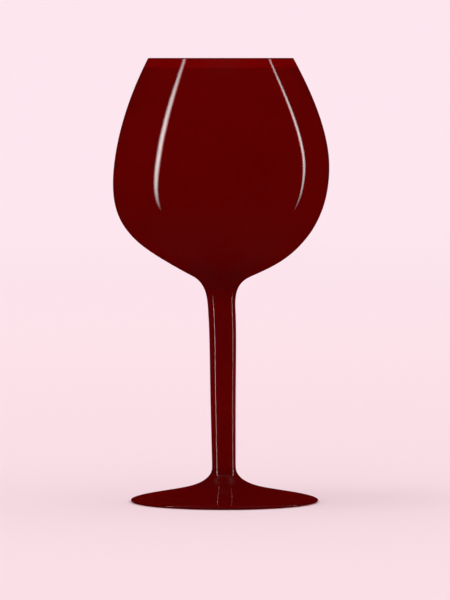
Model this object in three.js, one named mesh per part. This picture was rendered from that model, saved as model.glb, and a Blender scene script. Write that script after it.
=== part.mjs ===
// A balloon wine glass, filled with red wine to just under its rim.
// Millimetres, +Z up. The foot stands on z = 0 and the stem runs up the Z axis.
//
// Two solids: the glass (bowl, stem and foot are one piece of blown glass) and the wine in it.
// Both are turned from a profile and then leant a little, ring by ring, because the glass is
// blown by hand and is a millimetre or so out of true.

import * as THREE from "three";

// Driving sizes
const HEIGHT = 216;
const SIDES = 48;

// bowl, outside
const RIM_RADIUS = 35.45;
const RIM_FLARE = THREE.MathUtils.degToRad(26.6); // of the wall from upright, at the rim
const RIM_PULL = 5.9;
const WIDEST_RADIUS = 52.5;
const WIDEST_HEIGHT = 159.5;
const WIDEST_PULL_UP = 24.5;
const WIDEST_PULL_DOWN = 21.4;

// where the bowl runs out into the stem
const NECK_RADIUS = 14.5;
const NECK_HEIGHT = 110.1;
const NECK_SLOPE = THREE.MathUtils.degToRad(24.75); // of the wall from level, at the neck
const NECK_PULL_OUT = 33.2;
const NECK_PULL_IN = 7;

// stem
const STEM_TOP_RADIUS = 6.7;
const STEM_TOP_HEIGHT = 94;
const STEM_TOP_PULL = 8.2;
const STEM_LOW_RADIUS = 5.75;
const STEM_LOW_HEIGHT = 17;
const STEM_LOW_PULL = 4.7;

// foot
const FOOT_RADIUS = 45.7;
const FOOT_EDGE_HEIGHT = 0.95; // of the widest line of its rounded edge
const FOOT_EDGE_PULL = 1.9; // of the top, upwards from that line
const FOOT_SHOULDER_RADIUS = 16.9;
const FOOT_SHOULDER_HEIGHT = 7.55;
const FOOT_SLOPE = THREE.MathUtils.degToRad(15.4); // of its top from level, at the shoulder
const FOOT_SHOULDER_PULL_IN = 6.5;
const FOOT_SHOULDER_PULL_OUT = 10.2;
const REST_OUTER_RADIUS = 42.4; // the flat ring that it stands on
const REST_INNER_RADIUS = 38.5;
const KICK_HEIGHT = 1.3; // the hollow under the foot, at its middle

// wall
const RIM_WALL = 1.5; // and so the rim's rounding is half of it
const BOWL_WALL = 1.6;
const FLOOR_HEIGHT = 113;
const FLOOR_PULL = 36;
const INNER_PULL_DOWN = 21;

// wine
const FREE_DEPTH = 6; // from the wine's surface up to the rim
const WINE_GAP = 0.3; // clear of the glass
const MENISCUS_RISE = 1.1; // where the wine climbs the wall
const MENISCUS_WIDTH = 3.2;
const CLEAR_OF_BRIM = 1; // no ring of the wine's side comes nearer to its top edge

// how far the glass is out of true towards +X, by height
const LEAN_HEIGHTS = [0, 20, 50, 84, 106, 116, 128, 140, 172, 216];
const LEAN_OFFSETS = [0.95, 0.6, 0.25, 0.02, -0.75, 0.5, -1.15, -1.65, -0.2, -0.9];

// points for each stretch of curve
const LONG_STEPS = 9;
const SHORT_STEPS = 6;
const EDGE_STEPS = 4;

// Shaping
const at = (radius, height) => new THREE.Vector2(radius, height);

// The point a given pull away from another, along an angle measured from level.
const pulled = (from, angle, pull) =>
  at(from.x + pull * Math.cos(angle), from.y + pull * Math.sin(angle));

// Points along a curve, without the first, which the stretch before it has already given.
const along = (curve, steps) => curve.getPoints(steps).slice(1);

const bend = (start, startPull, endPull, end) =>
  new THREE.CubicBezierCurve(start, startPull, endPull, end);

// A closed solid turned from a profile that starts and ends on the axis, then leant by height.
const lean = new THREE.CubicInterpolant(LEAN_HEIGHTS, LEAN_OFFSETS, 1);
function turned(profile) {
  const geometry = new THREE.LatheGeometry(profile, SIDES).rotateX(Math.PI / 2);
  const place = geometry.getAttribute("position");
  for (let i = 0; i < place.count; i++) {
    place.setX(i, place.getX(i) + lean.evaluate(place.getZ(i))[0]);
  }
  geometry.computeVertexNormals();
  return geometry;
}

// The profiles
const RIM_ROUND = RIM_WALL / 2;
const rimMiddle = at(RIM_RADIUS - RIM_ROUND * Math.cos(RIM_FLARE), HEIGHT - RIM_ROUND);
const rimOutside = pulled(rimMiddle, RIM_FLARE, RIM_ROUND);
const rimInside = pulled(rimMiddle, RIM_FLARE, -RIM_ROUND);
const widestInside = at(WIDEST_RADIUS - BOWL_WALL, WIDEST_HEIGHT);
const rimDown = RIM_FLARE - Math.PI / 2;

// Under the foot, from the axis out: the kick, the ring it stands on, and the rounded edge.
function underside() {
  const kick = [];
  for (let i = 0; i <= SHORT_STEPS; i++) {
    const out = i / SHORT_STEPS;
    kick.push(at(REST_INNER_RADIUS * out, (KICK_HEIGHT * (1 + Math.cos(Math.PI * out))) / 2));
  }
  const edge = new THREE.EllipseCurve(
    REST_OUTER_RADIUS,
    FOOT_EDGE_HEIGHT,
    FOOT_RADIUS - REST_OUTER_RADIUS,
    FOOT_EDGE_HEIGHT,
    -Math.PI / 2,
    0,
  );
  return [...kick, ...edge.getPoints(EDGE_STEPS)];
}

// The foot's top, from its edge in to the foot of the stem.
function footTop() {
  const edge = at(FOOT_RADIUS, FOOT_EDGE_HEIGHT);
  const shoulder = at(FOOT_SHOULDER_RADIUS, FOOT_SHOULDER_HEIGHT);
  const stemLow = at(STEM_LOW_RADIUS, STEM_LOW_HEIGHT);
  const top = bend(
    edge,
    at(FOOT_RADIUS, FOOT_EDGE_HEIGHT + FOOT_EDGE_PULL),
    pulled(shoulder, -FOOT_SLOPE, FOOT_SHOULDER_PULL_OUT),
    shoulder,
  );
  const fillet = bend(
    shoulder,
    pulled(shoulder, Math.PI - FOOT_SLOPE, FOOT_SHOULDER_PULL_IN),
    at(STEM_LOW_RADIUS, STEM_LOW_HEIGHT - STEM_LOW_PULL),
    stemLow,
  );
  return [...along(top, LONG_STEPS), ...along(fillet, SHORT_STEPS)];
}

// Up the stem and out round the bowl to the rim.
function stemAndBowl() {
  const stemLow = at(STEM_LOW_RADIUS, STEM_LOW_HEIGHT);
  const stemTop = at(STEM_TOP_RADIUS, STEM_TOP_HEIGHT);
  const neck = at(NECK_RADIUS, NECK_HEIGHT);
  const widest = at(WIDEST_RADIUS, WIDEST_HEIGHT);
  const swell = bend(
    stemTop,
    at(STEM_TOP_RADIUS, STEM_TOP_HEIGHT + STEM_TOP_PULL),
    pulled(neck, NECK_SLOPE - Math.PI, NECK_PULL_IN),
    neck,
  );
  const lowerBowl = bend(
    neck,
    pulled(neck, NECK_SLOPE, NECK_PULL_OUT),
    at(WIDEST_RADIUS, WIDEST_HEIGHT - WIDEST_PULL_DOWN),
    widest,
  );
  const upperBowl = bend(
    widest,
    at(WIDEST_RADIUS, WIDEST_HEIGHT + WIDEST_PULL_UP),
    pulled(rimOutside, rimDown, RIM_PULL),
    rimOutside,
  );
  return [
    ...along(new THREE.LineCurve(stemLow, stemTop), EDGE_STEPS),
    ...along(swell, SHORT_STEPS),
    ...along(lowerBowl, LONG_STEPS),
    ...along(upperBowl, LONG_STEPS),
  ];
}

// Over the fire-polished rim, a half circle square to the wall, without its two ends.
function rim() {
  const top = new THREE.ArcCurve(
    rimMiddle.x,
    rimMiddle.y,
    RIM_ROUND,
    RIM_FLARE,
    RIM_FLARE + Math.PI,
  );
  return along(top, EDGE_STEPS).slice(0, -1);
}

// Down the inside of the bowl to the middle of its floor.
function inside() {
  const upper = bend(
    rimInside,
    pulled(rimInside, rimDown, RIM_PULL),
    at(widestInside.x, WIDEST_HEIGHT + WIDEST_PULL_UP),
    widestInside,
  );
  const lower = bend(
    widestInside,
    at(widestInside.x, WIDEST_HEIGHT - INNER_PULL_DOWN),
    at(FLOOR_PULL, FLOOR_HEIGHT),
    at(0, FLOOR_HEIGHT),
  );
  return [rimInside, ...along(upper, LONG_STEPS), ...along(lower, LONG_STEPS)];
}

// The wine: up the inside of the bowl, a gap in from the glass, and over its surface.
function wineProfile() {
  const surface = HEIGHT - FREE_DEPTH;
  const brim = surface + MENISCUS_RISE;
  const wall = inside().reverse();
  const points = [at(0, FLOOR_HEIGHT + WINE_GAP)];
  for (let i = 1; i < wall.length - 1; i++) {
    const slope = wall[i + 1].clone().sub(wall[i - 1]).normalize();
    const point = at(wall[i].x - WINE_GAP * slope.y, wall[i].y + WINE_GAP * slope.x);
    if (point.y < brim - CLEAR_OF_BRIM) points.push(point);
  }
  const meniscus = new THREE.EllipseCurve(
    radiusAt(wall, brim) - WINE_GAP - MENISCUS_WIDTH,
    brim,
    MENISCUS_WIDTH,
    MENISCUS_RISE,
    0,
    -Math.PI / 2,
    true,
  );
  return [...points, ...meniscus.getPoints(EDGE_STEPS), at(0, surface)];
}

// The radius of a rising profile at a height.
function radiusAt(profile, height) {
  const above = profile.findIndex((point) => point.y > height);
  const low = profile[above - 1];
  const high = profile[above];
  return THREE.MathUtils.mapLinear(height, low.y, high.y, low.x, high.x);
}

// The pieces
function makeGlass() {
  const profile = [...underside(), ...footTop(), ...stemAndBowl(), ...rim(), ...inside()];
  const material = new THREE.MeshStandardMaterial({
    color: 0x6a0208,
    roughness: 0.03,
    metalness: 0,
    transparent: true,
    opacity: 0.85,
  });
  const mesh = new THREE.Mesh(turned(profile), material);
  mesh.name = "glass";
  return mesh;
}

function makeWine() {
  const material = new THREE.MeshStandardMaterial({
    color: 0x550100,
    roughness: 0.05,
    metalness: 0,
  });
  const mesh = new THREE.Mesh(turned(wineProfile()), material);
  mesh.name = "wine";
  return mesh;
}

const drink = new THREE.Group();
drink.add(makeGlass(), makeWine());

export default drink;
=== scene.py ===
"""A balloon glass of deep ruby glass, filled with red wine, in a pale studio.

The glass and the wine are each turned ring by ring from a half outline, then smoothed. They stand
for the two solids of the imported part. The outlines are in millimetres, the lamps, the camera and
the shell are in metres, and angles are in degrees.
"""

from __future__ import annotations

import logging
import math
from collections.abc import Callable, Sequence
from dataclasses import dataclass, field
from enum import Enum

import bpy
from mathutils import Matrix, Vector
from mathutils.geometry import interpolate_bezier


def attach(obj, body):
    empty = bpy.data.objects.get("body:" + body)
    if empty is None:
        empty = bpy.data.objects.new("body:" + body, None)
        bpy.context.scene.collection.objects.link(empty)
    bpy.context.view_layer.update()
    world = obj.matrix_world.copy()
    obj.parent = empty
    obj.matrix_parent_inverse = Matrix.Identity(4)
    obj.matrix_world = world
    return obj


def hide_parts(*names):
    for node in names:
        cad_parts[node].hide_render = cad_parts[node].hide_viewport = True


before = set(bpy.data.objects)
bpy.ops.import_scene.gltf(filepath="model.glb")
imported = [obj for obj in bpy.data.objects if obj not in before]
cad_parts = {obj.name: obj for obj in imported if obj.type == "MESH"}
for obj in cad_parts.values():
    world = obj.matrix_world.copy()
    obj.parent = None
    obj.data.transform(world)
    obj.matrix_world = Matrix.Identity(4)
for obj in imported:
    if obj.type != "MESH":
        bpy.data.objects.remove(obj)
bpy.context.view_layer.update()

MM = 0.001
BODY = "root"
IMAGE_WIDTH = 450
IMAGE_HEIGHT = 600

# Two points of an outline that are nearer than this are one
SAME_PLACE = 1e-6

# Nearly all of a noise's values lie between these
NOISE_LOW = 0.3
NOISE_HIGH = 0.7

# The middle of a lamp's front, which runs from 0 to 1 both ways
LAMP_MIDDLE = (0.5, 0.5, 0)

# A radius and a height, or another pair
Point = tuple[float, float]
Colour = tuple[float, float, float, float]

# A place along a row of colours, from 0 to 1, and the colour there
Stop = tuple[float, Colour]

log = logging.getLogger("glass_of_wine")


class Fade(Enum):
    """How a row of colours runs from one to the next."""

    EVEN = "LINEAR"
    SOFT = "EASE"


def pulled(start: Point, angle: float, pull: float) -> Point:
    """Finds the point a given pull away from another.

    Args:
        start: Radius and height of the point to start from.
        angle: Direction in degrees, measured from level and outwards.
        pull: How far to go.

    Returns:
        Radius and height of the new point.
    """
    way = math.radians(angle)
    return (start[0] + pull * math.cos(way), start[1] + pull * math.sin(way))


@dataclass
class Outline:
    """Half of a turned shape, as radius and height from one end to the other."""

    points: list[Point] = field(default_factory=list)

    def through(self, point: Point) -> Outline:
        """Adds one point, the first or the next."""
        self.points.append(point)
        return self

    def line(self, end: Point, steps: int = 1) -> Outline:
        """Runs straight on.

        Args:
            end: Where the line ends.
            steps: How many equal steps it takes.

        Returns:
            The outline itself.
        """
        first = Vector(self.points[-1])
        for step in range(1, steps + 1):
            self.points.append(tuple(first.lerp(Vector(end), step / steps)))
        return self

    def bend(self, leaving: Point, arriving: Point, end: Point, steps: int) -> Outline:
        """Runs on in one smooth curve.

        Args:
            leaving: The handle that the curve leaves towards.
            arriving: The handle that the curve arrives from.
            end: Where the curve ends.
            steps: How many steps it takes.

        Returns:
            The outline itself.
        """
        handles = [(*place, 0.0) for place in (self.points[-1], leaving, arriving, end)]
        curve = interpolate_bezier(*handles, steps + 1)
        self.points.extend((place.x, place.y) for place in curve[1:])
        return self

    def arc(self, middle: Point, radii: Point, first: float, last: float, steps: int) -> Outline:
        """Runs on round part of an ellipse.

        Args:
            middle: The middle of the ellipse.
            radii: Its half width and half height.
            first: The angle it starts at, in degrees.
            last: The angle it ends at, in degrees.
            steps: How many steps it takes.

        Returns:
            The outline itself.
        """
        for step in range(steps + 1):
            way = math.radians(first + (last - first) * step / steps)
            place = (middle[0] + radii[0] * math.cos(way), middle[1] + radii[1] * math.sin(way))
            if math.dist(place, self.points[-1]) > SAME_PLACE:
                self.points.append(place)
        return self


@dataclass(frozen=True)
class Lean:
    """How far the hand-blown glass is out of true towards +X, by height."""

    stations: tuple[Point, ...] = (
        (0, 0.95),
        (20, 0.6),
        (50, 0.25),
        (84, 0.02),
        (106, -0.75),
        (116, 0.5),
        (128, -1.15),
        (140, -1.65),
        (172, -0.2),
        (216, -0.9),
    )

    def slope(self, index: int) -> float:
        """Returns how fast the lean changes at one of its stations."""
        before = self.stations[max(index - 1, 0)]
        after = self.stations[min(index + 1, len(self.stations) - 1)]
        return (after[1] - before[1]) / (after[0] - before[0])

    def at(self, height: float) -> float:
        """Finds the lean at any height, smoothly between the stations.

        Args:
            height: Height above the surface that the glass stands on.

        Returns:
            The shift towards +X.
        """
        last = len(self.stations) - 2
        index = next((i for i in range(last) if height < self.stations[i + 1][0]), last)
        low, high = self.stations[index], self.stations[index + 1]
        span = high[0] - low[0]
        share = min(max((height - low[0]) / span, 0.0), 1.0)
        rise = (1 + 2 * share) * (1 - share) ** 2 * low[1]
        rise += share * (1 - share) ** 2 * span * self.slope(index)
        rise += share**2 * (3 - 2 * share) * high[1]
        return rise - share**2 * (1 - share) * span * self.slope(index + 1)


def deselect_all() -> None:
    """Leaves nothing selected, so that the next operator acts on the new piece alone."""
    if bpy.context.object and bpy.context.object.mode != "OBJECT":
        bpy.ops.object.mode_set(mode="OBJECT")
    bpy.ops.object.select_all(action="DESELECT")


def upright(height: float) -> float:
    """Returns the shift along X of a shape that doesn't lean, which is none at any height."""
    return 0.0


def next_ring(old: Point, new: Point, shift: Callable[[float], float]) -> None:
    """Draws the selected ring on to the next point of the outline.

    Args:
        old: Radius and height of the selected ring.
        new: Radius and height of the ring to make.
        shift: Gives the ring's middle along X from its height.
    """
    across = (shift(new[1]) - shift(old[1])) * MM
    up = (new[1] - old[1]) * MM
    bpy.ops.mesh.extrude_edges_move(TRANSFORM_OT_translate={"value": (across, 0, up)})
    middle = (shift(new[1]) * MM, 0, new[1] * MM)
    if new[0] == 0:
        bpy.ops.mesh.merge(type="CENTER")
    else:
        size = new[0] / old[0]
        bpy.ops.transform.resize(value=(size, size, 1), center_override=middle)


def turn(
    name: str, points: Sequence[Point], sides: int, shift: Callable[[float], float]
) -> bpy.types.Object:
    """Turns an outline into a mesh, ring by ring.

    Args:
        name: The piece's name.
        points: The outline, whose first point is the first ring, closed with a fan.
        sides: How many sides each ring has.
        shift: Gives a ring's middle along X from its height.

    Returns:
        The new piece, at the origin.
    """
    deselect_all()
    radius, height = points[0]
    bpy.ops.mesh.primitive_circle_add(
        vertices=sides,
        radius=radius * MM,
        fill_type="TRIFAN",
        location=(shift(height) * MM, 0, height * MM),
    )
    bpy.ops.object.transform_apply(location=True, rotation=True, scale=True)
    piece = bpy.context.object
    piece.name = piece.data.name = name
    bpy.ops.object.mode_set(mode="EDIT")
    bpy.ops.mesh.select_mode(type="EDGE")
    bpy.ops.mesh.select_all(action="SELECT")
    bpy.ops.mesh.region_to_loop()
    for old, new in zip(points, points[1:]):
        next_ring(old, new, shift)
    bpy.ops.mesh.select_all(action="SELECT")
    bpy.ops.mesh.normals_make_consistent(inside=False)
    bpy.ops.object.mode_set(mode="OBJECT")
    bpy.ops.object.shade_smooth()
    return piece


def smooth(piece: bpy.types.Object, levels: int) -> None:
    """Rounds a piece with a subdivision surface and applies it.

    Args:
        piece: The piece to round, which is the active object.
        levels: How often each face is split.
    """
    bpy.ops.object.modifier_add(type="SUBSURF")
    modifier = piece.modifiers[-1]
    modifier.levels = modifier.render_levels = levels
    bpy.ops.object.modifier_apply(modifier=modifier.name)


@dataclass
class Nodes:
    """The nodes of one material or lamp, added and joined one after another."""

    tree: bpy.types.NodeTree

    def add(self, kind: str, **settings: object) -> bpy.types.Node:
        """Adds a node.

        Args:
            kind: Blender's name for the kind of node.
            settings: Properties to set on it.

        Returns:
            The new node.
        """
        node = self.tree.nodes.new(kind)
        for name, value in settings.items():
            setattr(node, name, value)
        return node

    def join(self, out: bpy.types.NodeSocket, into: bpy.types.NodeSocket) -> None:
        """Joins an output to an input."""
        self.tree.links.new(out, into)

    def noise(self, scale: Sequence[float], detail: float = 2.0) -> bpy.types.NodeSocket:
        """Adds a noise that is fixed to the piece.

        Args:
            scale: Blotches for each metre along X, Y and Z.
            detail: How many finer layers it has.

        Returns:
            The noise's value, about 0.5 on average.
        """
        place = self.add("ShaderNodeTexCoord")
        mapping = self.add("ShaderNodeMapping")
        mapping.inputs["Scale"].default_value = scale
        noise = self.add("ShaderNodeTexNoise")
        noise.inputs["Scale"].default_value = 1.0
        noise.inputs["Detail"].default_value = detail
        self.join(place.outputs["Object"], mapping.inputs["Vector"])
        self.join(mapping.outputs["Vector"], noise.inputs["Vector"])
        return noise.outputs["Fac"]

    def between(self, value: bpy.types.NodeSocket, low: float, high: float) -> bpy.types.NodeSocket:
        """Spreads a noise over a range.

        Args:
            value: The noise.
            low: What its low values become.
            high: What its high values become.

        Returns:
            The spread value.
        """
        spread = self.add("ShaderNodeMapRange")
        spread.inputs["From Min"].default_value = NOISE_LOW
        spread.inputs["From Max"].default_value = NOISE_HIGH
        spread.inputs["To Min"].default_value = low
        spread.inputs["To Max"].default_value = high
        self.join(value, spread.inputs["Value"])
        return spread.outputs["Result"]

    def tint(self, value: bpy.types.NodeSocket, pale: Colour, deep: Colour) -> bpy.types.NodeSocket:
        """Mixes two colours by a noise.

        Args:
            value: The noise.
            pale: The colour of its low values.
            deep: The colour of its high values.

        Returns:
            The mixed colour.
        """
        mix = self.add("ShaderNodeMix", data_type="RGBA")
        self.join(self.between(value, 0.0, 1.0), mix.inputs["Factor"])
        mix.inputs["A"].default_value = pale
        mix.inputs["B"].default_value = deep
        return mix.outputs["Result"]

    def ramp(
        self, value: bpy.types.NodeSocket, stops: Sequence[Stop], fade: Fade
    ) -> bpy.types.NodeSocket:
        """Runs through a row of colours.

        Args:
            value: Where along the row, from 0 to 1.
            stops: Each colour with its place along the row, in order.
            fade: How one colour runs to the next.

        Returns:
            The colour.
        """
        ramp = self.add("ShaderNodeValToRGB")
        ramp.color_ramp.interpolation = fade.value
        elements = ramp.color_ramp.elements
        first, *between, last = stops
        elements[0].position, elements[0].color = first
        elements[1].position, elements[1].color = last
        for place, colour in between:
            elements.new(place).color = colour
        self.join(value, ramp.inputs["Fac"])
        return ramp.outputs["Color"]


@dataclass(frozen=True)
class ClearFinish:
    """A clear coloured stuff that light passes through, glass or liquid.

    The losses say how fast red light and other light die away, for each metre of the stuff, and
    body is the share of the surface that is plain colour. Blotches and ripples are counted for
    each metre, and a ripple's height is in millimetres.
    """

    name: str
    slot: str
    pale: Colour
    deep: Colour
    ior: float
    roughness: Point
    red_loss: float
    other_loss: float
    blotch: tuple[float, float, float]
    ripple: tuple[float, float, float]
    ripple_height: float
    body: float

    def make(self) -> bpy.types.Material:
        """Makes the material.

        Returns:
            The material, with its surface and the colour that its depth gives.
        """
        material = bpy.data.materials.new(self.name)
        material.use_nodes = True
        nodes = Nodes(material.node_tree)
        surface = nodes.tree.nodes["Principled BSDF"]
        surface.inputs["Transmission Weight"].default_value = 1.0 - self.body
        surface.inputs["IOR"].default_value = self.ior
        blotches = nodes.noise(self.blotch)
        nodes.join(nodes.tint(blotches, self.pale, self.deep), surface.inputs["Base Color"])
        nodes.join(nodes.between(blotches, *self.roughness), surface.inputs["Roughness"])
        bump = nodes.add("ShaderNodeBump")
        bump.inputs["Strength"].default_value = 1.0
        bump.inputs["Distance"].default_value = self.ripple_height * MM
        nodes.join(nodes.noise(self.ripple, detail=1.0), bump.inputs["Height"])
        nodes.join(bump.outputs["Normal"], surface.inputs["Normal"])
        self.add_depth(nodes)
        return material

    def add_depth(self, nodes: Nodes) -> None:
        """Adds the colour that grows with the way light goes through the stuff.

        Args:
            nodes: The material's nodes.
        """
        volume = nodes.add("ShaderNodeVolumeAbsorption")
        kept = 1 - self.red_loss / self.other_loss
        volume.inputs["Color"].default_value = (kept, 0.0, 0.0, 1.0)
        volume.inputs["Density"].default_value = self.other_loss
        nodes.join(volume.outputs["Volume"], nodes.tree.nodes["Material Output"].inputs["Volume"])


RUBY_GLASS = ClearFinish(
    name="ruby_glass",
    slot="ruby_glass",
    pale=(0.55, 0.006, 0.006, 1),
    deep=(0.48, 0.0035, 0.0035, 1),
    ior=1.5,
    roughness=(0.0, 0.02),
    red_loss=240,
    other_loss=1500,
    blotch=(14, 14, 30),
    ripple=(25, 25, 40),
    ripple_height=0.04,
    body=0.15,
)

RED_WINE = ClearFinish(
    name="red_wine",
    slot="red_wine",
    pale=(0.86, 0.012, 0.012, 1),
    deep=(0.78, 0.008, 0.008, 1),
    ior=1.34,
    roughness=(0.0, 0.01),
    red_loss=12,
    other_loss=400,
    blotch=(20, 20, 20),
    ripple=(60, 60, 60),
    ripple_height=0.01,
    body=0.09,
)


@dataclass
class WineGlass:
    """The glass: bowl, stem and foot in one piece of blown ruby glass.

    A point is a radius and a height. A pull says how far a curve's handle lies from its end.
    """

    height: float = 216
    rim_radius: float = 35.45
    rim_flare: float = 26.6
    rim_pull: float = 5.9
    widest: Point = (52.5, 159.5)
    widest_pull_up: float = 24.5
    widest_pull_down: float = 21.4
    neck: Point = (14.5, 110.1)
    neck_slope: float = 24.75
    neck_pull_out: float = 33.2
    neck_pull_in: float = 7
    stem_top: Point = (6.7, 94)
    stem_top_pull: float = 8.2
    stem_low: Point = (5.75, 17)
    stem_low_pull: float = 4.7
    foot_edge: Point = (45.7, 0.95)
    foot_edge_pull: float = 1.9
    shoulder: Point = (16.9, 7.55)
    shoulder_slope: float = 15.4
    shoulder_pull_in: float = 6.5
    shoulder_pull_out: float = 10.2
    rest_outer: float = 42.4
    rest_inner: float = 38.5
    kick_height: float = 1.3
    rim_wall: float = 1.5
    bowl_wall: float = 1.6
    floor_height: float = 113
    floor_pull: float = 36
    inner_pull_down: float = 21
    centre_ring: float = 1.5
    sides: int = 96
    long_steps: int = 20
    short_steps: int = 12
    edge_steps: int = 6
    rest_steps: int = 2
    finish: ClearFinish = RUBY_GLASS

    @property
    def rim_middle(self) -> Point:
        """The middle of the rounding at the rim."""
        rounding = self.rim_wall / 2
        return (
            self.rim_radius - rounding * math.cos(math.radians(self.rim_flare)),
            self.height - rounding,
        )

    def underside(self, outline: Outline) -> None:
        """Adds the hollow under the foot, the ring it stands on and its edge."""
        for step in range(self.short_steps + 1):
            out = step / self.short_steps
            radius = self.centre_ring + (self.rest_inner - self.centre_ring) * out
            height = self.kick_height * (1 + math.cos(math.pi * radius / self.rest_inner)) / 2
            outline.through((radius, height))
        outline.line((self.rest_outer, 0), self.rest_steps)
        radius, height = self.foot_edge
        radii = (radius - self.rest_outer, height)
        outline.arc((self.rest_outer, height), radii, -90, 0, self.edge_steps)

    def foot_top(self, outline: Outline) -> None:
        """Adds the top of the foot, from its edge in to the stem."""
        radius, height = self.foot_edge
        outline.bend(
            (radius, height + self.foot_edge_pull),
            pulled(self.shoulder, -self.shoulder_slope, self.shoulder_pull_out),
            self.shoulder,
            self.long_steps,
        )
        radius, height = self.stem_low
        outline.bend(
            pulled(self.shoulder, 180 - self.shoulder_slope, self.shoulder_pull_in),
            (radius, height - self.stem_low_pull),
            self.stem_low,
            self.short_steps,
        )

    def stem_and_bowl(self, outline: Outline) -> None:
        """Adds the stem and the outside of the bowl, up to the rim."""
        outline.line(self.stem_top, self.short_steps)
        radius, height = self.stem_top
        outline.bend(
            (radius, height + self.stem_top_pull),
            pulled(self.neck, self.neck_slope - 180, self.neck_pull_in),
            self.neck,
            self.short_steps,
        )
        radius, height = self.widest
        outline.bend(
            pulled(self.neck, self.neck_slope, self.neck_pull_out),
            (radius, height - self.widest_pull_down),
            self.widest,
            self.long_steps,
        )
        rim = pulled(self.rim_middle, self.rim_flare, self.rim_wall / 2)
        outline.bend(
            (radius, height + self.widest_pull_up),
            pulled(rim, self.rim_flare - 90, self.rim_pull),
            rim,
            self.long_steps,
        )

    def over_the_rim(self, outline: Outline) -> None:
        """Adds the fire-polished rim."""
        radii = (self.rim_wall / 2, self.rim_wall / 2)
        start, end = self.rim_flare, self.rim_flare + 180
        outline.arc(self.rim_middle, radii, start, end, self.edge_steps)

    def inside(self, outline: Outline, floor_middle: float) -> None:
        """Adds the inside of the bowl.

        Args:
            outline: The outline, which has reached the inner edge of the rim.
            floor_middle: The radius at which the floor ends.
        """
        rim = pulled(self.rim_middle, self.rim_flare + 180, self.rim_wall / 2)
        radius, height = self.widest[0] - self.bowl_wall, self.widest[1]
        outline.bend(
            pulled(rim, self.rim_flare - 90, self.rim_pull),
            (radius, height + self.widest_pull_up),
            (radius, height),
            self.long_steps,
        )
        outline.bend(
            (radius, height - self.inner_pull_down),
            (self.floor_pull, self.floor_height),
            (floor_middle, self.floor_height),
            self.long_steps,
        )

    def outline(self) -> list[Point]:
        """Returns the whole half outline, from under the foot to the bowl's floor."""
        outline = Outline()
        self.underside(outline)
        self.foot_top(outline)
        self.stem_and_bowl(outline)
        self.over_the_rim(outline)
        self.inside(outline, floor_middle=self.centre_ring)
        outline.line((0, self.floor_height))
        return outline.points

    def wall_inside(self) -> list[Point]:
        """Returns the inside of the bowl, from the floor up to the rim."""
        rim = pulled(self.rim_middle, self.rim_flare + 180, self.rim_wall / 2)
        outline = Outline().through(rim)
        self.inside(outline, floor_middle=self.centre_ring)
        return outline.points[::-1]

    def build(self, lean: Lean) -> bpy.types.Object:
        """Builds and dresses the glass.

        Args:
            lean: How far it is out of true.

        Returns:
            The finished piece.
        """
        piece = turn("blown_glass", self.outline(), self.sides, lean.at)
        smooth(piece, levels=1)
        piece.data.materials.append(self.finish.make())
        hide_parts("glass")
        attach(piece, BODY)
        return piece


@dataclass
class Wine:
    """The wine, from the floor of the bowl to its surface.

    The free depth is the way from the surface up to the glass's rim, and the rise is how far the
    wine climbs the wall.
    """

    glass: WineGlass
    free_depth: float = 6
    rise: float = 1.1
    rise_width: float = 3.2
    into_wall: float = 0.2
    surface_steps: int = 8
    rise_steps: int = 8
    sides: int = 96
    finish: ClearFinish = RED_WINE

    @property
    def surface(self) -> float:
        """The height of the wine's surface."""
        return self.glass.height - self.free_depth

    def side(self, wall: Sequence[Point]) -> list[Point]:
        """Finds the wine's side, which reaches just into the wall.

        Args:
            wall: The inside of the bowl, from the floor up.

        Returns:
            The side's points, up to the top of the liquid's rise.
        """
        brim = self.surface + self.rise
        points = [(wall[0][0], wall[0][1] - self.into_wall)]
        for before, here, after in zip(wall, wall[1:], wall[2:]):
            along = (Vector(after) - Vector(before)).normalized()
            place = (here[0] + self.into_wall * along.y, here[1] - self.into_wall * along.x)
            if place[1] > brim:
                low = points[-1]
                share = (brim - low[1]) / (place[1] - low[1])
                points.append((low[0] + (place[0] - low[0]) * share, brim))
                break
            points.append(place)
        return points

    def outline(self) -> list[Point]:
        """Returns the whole half outline, up the side and over the surface to its middle."""
        wall = self.glass.wall_inside()
        outline = Outline(points=self.side(wall))
        radius, brim = outline.points[-1]
        middle = (radius - self.rise_width, brim)
        outline.arc(middle, (self.rise_width, self.rise), 0, -90, self.rise_steps)
        outline.line((wall[0][0], self.surface), self.surface_steps)
        outline.line((0, self.surface))
        return outline.points

    def build(self, lean: Lean) -> bpy.types.Object:
        """Builds and dresses the wine.

        Args:
            lean: How far the glass is out of true.

        Returns:
            The finished piece.
        """
        piece = turn("wine_in_bowl", self.outline(), self.sides, lean.at)
        smooth(piece, levels=1)
        piece.data.materials.append(self.finish.make())
        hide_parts("wine")
        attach(piece, BODY)
        return piece


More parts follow.
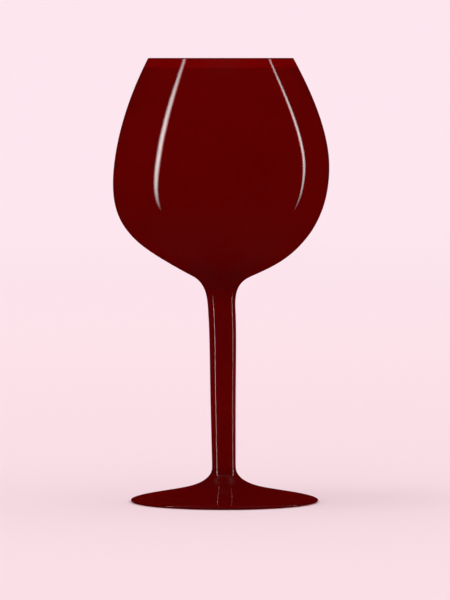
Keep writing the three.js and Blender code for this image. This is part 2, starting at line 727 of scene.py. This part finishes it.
@dataclass
class SoftBox:
    """A round or oval white lamp, turned to the glass, whose front fades towards its edge.

    The core is the share of its width that is fully bright. A lamp that lights the floor doesn't
    show in the glass, and the others only show in it.
    """

    name: str
    place: tuple[float, float, float]
    size: tuple[float, float]
    power: float
    core: float = 0.1
    lights_floor: bool = False
    aim: tuple[float, float, float] = (0, 0, 0.12)

    def build(self) -> bpy.types.Object:
        """Puts the lamp up.

        Returns:
            The lamp.
        """
        light = bpy.data.lights.new(self.name, type="AREA")
        light.shape = "ELLIPSE"
        light.size, light.size_y = self.size
        light.energy = self.power
        lamp = bpy.data.objects.new(self.name, light)
        bpy.context.scene.collection.objects.link(lamp)
        lamp.location = self.place
        back = Vector(self.place) - Vector(self.aim)
        lamp.rotation_euler = back.to_track_quat("Z", "Y").to_euler()
        lamp.visible_camera = False
        lamp.visible_diffuse = self.lights_floor
        lamp.visible_glossy = not self.lights_floor
        self.soften(light)
        return lamp

    def soften(self, light: bpy.types.AreaLight) -> None:
        """Lets the lamp's front fade out from its bright core to its edge.

        Args:
            light: The lamp's data.
        """
        light.use_nodes = True
        nodes = Nodes(light.node_tree)
        place = nodes.add("ShaderNodeNewGeometry")
        centred = nodes.add("ShaderNodeVectorMath", operation="SUBTRACT")
        centred.inputs[1].default_value = LAMP_MIDDLE
        out = nodes.add("ShaderNodeVectorMath", operation="LENGTH")
        fade = nodes.add("ShaderNodeMapRange", interpolation_type="SMOOTHSTEP")
        fade.inputs["From Min"].default_value = self.core * LAMP_MIDDLE[0]
        fade.inputs["From Max"].default_value = LAMP_MIDDLE[0]
        fade.inputs["To Min"].default_value = 1.0
        fade.inputs["To Max"].default_value = 0.0
        nodes.join(place.outputs["Parametric"], centred.inputs[0])
        nodes.join(centred.outputs["Vector"], out.inputs[0])
        nodes.join(out.outputs["Value"], fade.inputs["Value"])
        nodes.join(fade.outputs["Result"], nodes.tree.nodes["Emission"].inputs["Strength"])


@dataclass
class Studio:
    """The pale sweep that the glass stands on, and the light.

    The paper's colours carry painted shade, darker near the glass and paler further out, and go by
    the way from the glass, as shares of its reach in metres. The shell's colours go by height, from
    its lowest point to its highest.
    """

    floor_middle: float = 190
    floor_radius: float = 3800
    floor_steps: int = 6
    curve_radius: float = 2500
    curve_end: float = -30
    curve_steps: int = 16
    sides: int = 96
    shell_radius: float = 5.0
    shell_sides: int = 48
    shell_rings: int = 24
    paper_roughness: float = 0.9
    paper_reach: float = 5.0
    # Paper colour with painted shade: darker near the glass, paler towards the wall
    paper_colours_and_painted_shade: tuple[Stop, ...] = (
        (0.08, (0.893, 0.733, 0.771, 1)),
        (0.3, (0.928, 0.78, 0.815, 1)),
        (0.8, (0.957, 0.841, 0.88, 1)),
    )
    sky: Colour = (1.0, 0.93, 0.96, 1)
    sky_strength: float = 1.03
    light_turns: int = 32
    glow: tuple[Stop, ...] = (
        (0.02, (0.06, 0.012, 0.013, 1)),
        (0.3, (0.09, 0.0006, 0.0004, 1)),
        (0.88, (0.09, 0.0006, 0.0004, 1)),
        (0.98, (0.2, 0.18, 0.19, 1)),
    )
    lamps: tuple[SoftBox, ...] = (
        SoftBox("key", place=(-1.55, -0.5, 0.6), size=(0.25, 3.4), power=29),
        SoftBox("edge", place=(1.5, 0.2, 0.5), size=(0.16, 2.8), power=11),
        SoftBox("ceiling", place=(-0.9, -0.3, 2.3), size=(1.6, 1.6), power=12, lights_floor=True),
    )

    def build_sweep(self) -> bpy.types.Object:
        """Builds the floor, which curves up into a wall all round.

        Returns:
            The sweep.
        """
        outline = Outline().through((self.floor_middle, 0))
        outline.line((self.floor_radius, 0), self.floor_steps)
        middle = (self.floor_radius, self.curve_radius)
        radii = (self.curve_radius, self.curve_radius)
        outline.arc(middle, radii, -90, self.curve_end, self.curve_steps)
        sweep = turn("sweep", outline.points, self.sides, upright)
        sweep.data.materials.append(self.sweep_paper_with_painted_shade())
        sweep.visible_glossy = False
        return sweep

    def sweep_paper_with_painted_shade(self) -> bpy.types.Material:
        """Makes the sweep's paper, with painted shade: darker near the glass and paler the further
        it is from it.

        Returns:
            The material.
        """
        material = bpy.data.materials.new("sweep_paper_with_painted_shade")
        material.use_nodes = True
        nodes = Nodes(material.node_tree)
        surface = nodes.tree.nodes["Principled BSDF"]
        surface.inputs["Roughness"].default_value = self.paper_roughness
        surface.inputs["Specular IOR Level"].default_value = 0.0
        place = nodes.add("ShaderNodeTexCoord")
        away = nodes.add("ShaderNodeVectorMath", operation="LENGTH")
        share = nodes.add("ShaderNodeMapRange")
        share.inputs["From Max"].default_value = self.paper_reach
        nodes.join(place.outputs["Object"], away.inputs[0])
        nodes.join(away.outputs["Value"], share.inputs["Value"])
        # Painted shade: the paper is darker near the glass and paler further out
        colour = nodes.ramp(share.outputs["Result"], self.paper_colours_and_painted_shade, Fade.EVEN)
        nodes.join(colour, surface.inputs["Base Color"])
        return material

    def build_sky(self) -> None:
        """Sets the soft light that comes from all round."""
        world = bpy.data.worlds.new("studio")
        bpy.context.scene.world = world
        world.use_nodes = True
        sky = world.node_tree.nodes["Background"]
        sky.inputs["Color"].default_value = self.sky
        sky.inputs["Strength"].default_value = self.sky_strength
        world.cycles_visibility.glossy = False

    def shell_glow(self) -> bpy.types.Material:
        """Makes the shell's light, by height: deep red round the glass, paler overhead.

        Returns:
            The material.
        """
        material = bpy.data.materials.new("reflected_sky")
        material.use_nodes = True
        nodes = Nodes(material.node_tree)
        place = nodes.add("ShaderNodeTexCoord")
        split = nodes.add("ShaderNodeSeparateXYZ")
        up = nodes.add("ShaderNodeMapRange")
        up.inputs["From Min"].default_value = -self.shell_radius
        up.inputs["From Max"].default_value = self.shell_radius
        light = nodes.add("ShaderNodeEmission")
        nodes.join(place.outputs["Object"], split.inputs["Vector"])
        nodes.join(split.outputs["Z"], up.inputs["Value"])
        colour = nodes.ramp(up.outputs["Result"], self.glow, Fade.SOFT)
        nodes.join(colour, light.inputs["Color"])
        output = nodes.tree.nodes["Material Output"]
        nodes.join(light.outputs["Emission"], output.inputs["Surface"])
        material.cycles.emission_sampling = "NONE"
        return material

    def build_shell(self) -> bpy.types.Object:
        """Builds the shell that only shows in reflections.

        Returns:
            The shell.
        """
        deselect_all()
        bpy.ops.mesh.primitive_uv_sphere_add(
            segments=self.shell_sides, ring_count=self.shell_rings, radius=self.shell_radius
        )
        shell = bpy.context.object
        shell.name = shell.data.name = "reflected_sky"
        shell.data.materials.append(self.shell_glow())
        shell.visible_camera = False
        shell.visible_diffuse = False
        shell.visible_transmission = False
        shell.visible_shadow = False
        return shell

    def build(self) -> list[bpy.types.Object]:
        """Builds the studio.

        Returns:
            What stands in it: the sweep, the shell and the lamps.
        """
        standing = [self.build_sweep(), self.build_shell()]
        self.build_sky()
        standing.extend(lamp.build() for lamp in self.lamps)
        scene = bpy.context.scene
        scene.view_settings.view_transform = "Standard"
        scene.cycles.max_bounces = self.light_turns
        scene.cycles.transmission_bounces = self.light_turns
        return standing


@dataclass
class PhotoCamera:
    """The camera, at the height of the rim and a few steps away."""

    place: tuple[float, float, float] = (0.00117, -2.4, 0.216)
    pitch: float = 2.805
    focal_pixels: float = 4941.6
    sensor: float = 36

    def build(self) -> bpy.types.Object:
        """Sets the camera up.

        Returns:
            The camera.
        """
        data = bpy.data.cameras.new("camera")
        data.sensor_width = self.sensor
        data.lens = self.focal_pixels * self.sensor / max(IMAGE_WIDTH, IMAGE_HEIGHT)
        camera = bpy.data.objects.new("camera", data)
        bpy.context.scene.collection.objects.link(camera)
        camera.location = self.place
        camera.rotation_euler = (math.radians(90 - self.pitch), 0, 0)
        bpy.context.scene.camera = camera
        return camera


def main() -> None:
    """Builds everything in order."""
    logging.basicConfig(level=logging.INFO, format="%(name)s: %(message)s")
    lean = Lean()
    glass = WineGlass()
    camera = PhotoCamera().build()
    log.info("%s is set up", camera.name)
    for piece in (glass.build(lean), Wine(glass).build(lean)):
        log.info("%s has %d faces", piece.name, len(piece.data.polygons))
    for standing in Studio().build():
        log.info("%s stands in the studio", standing.name)


if __name__ == "__main__":
    main()
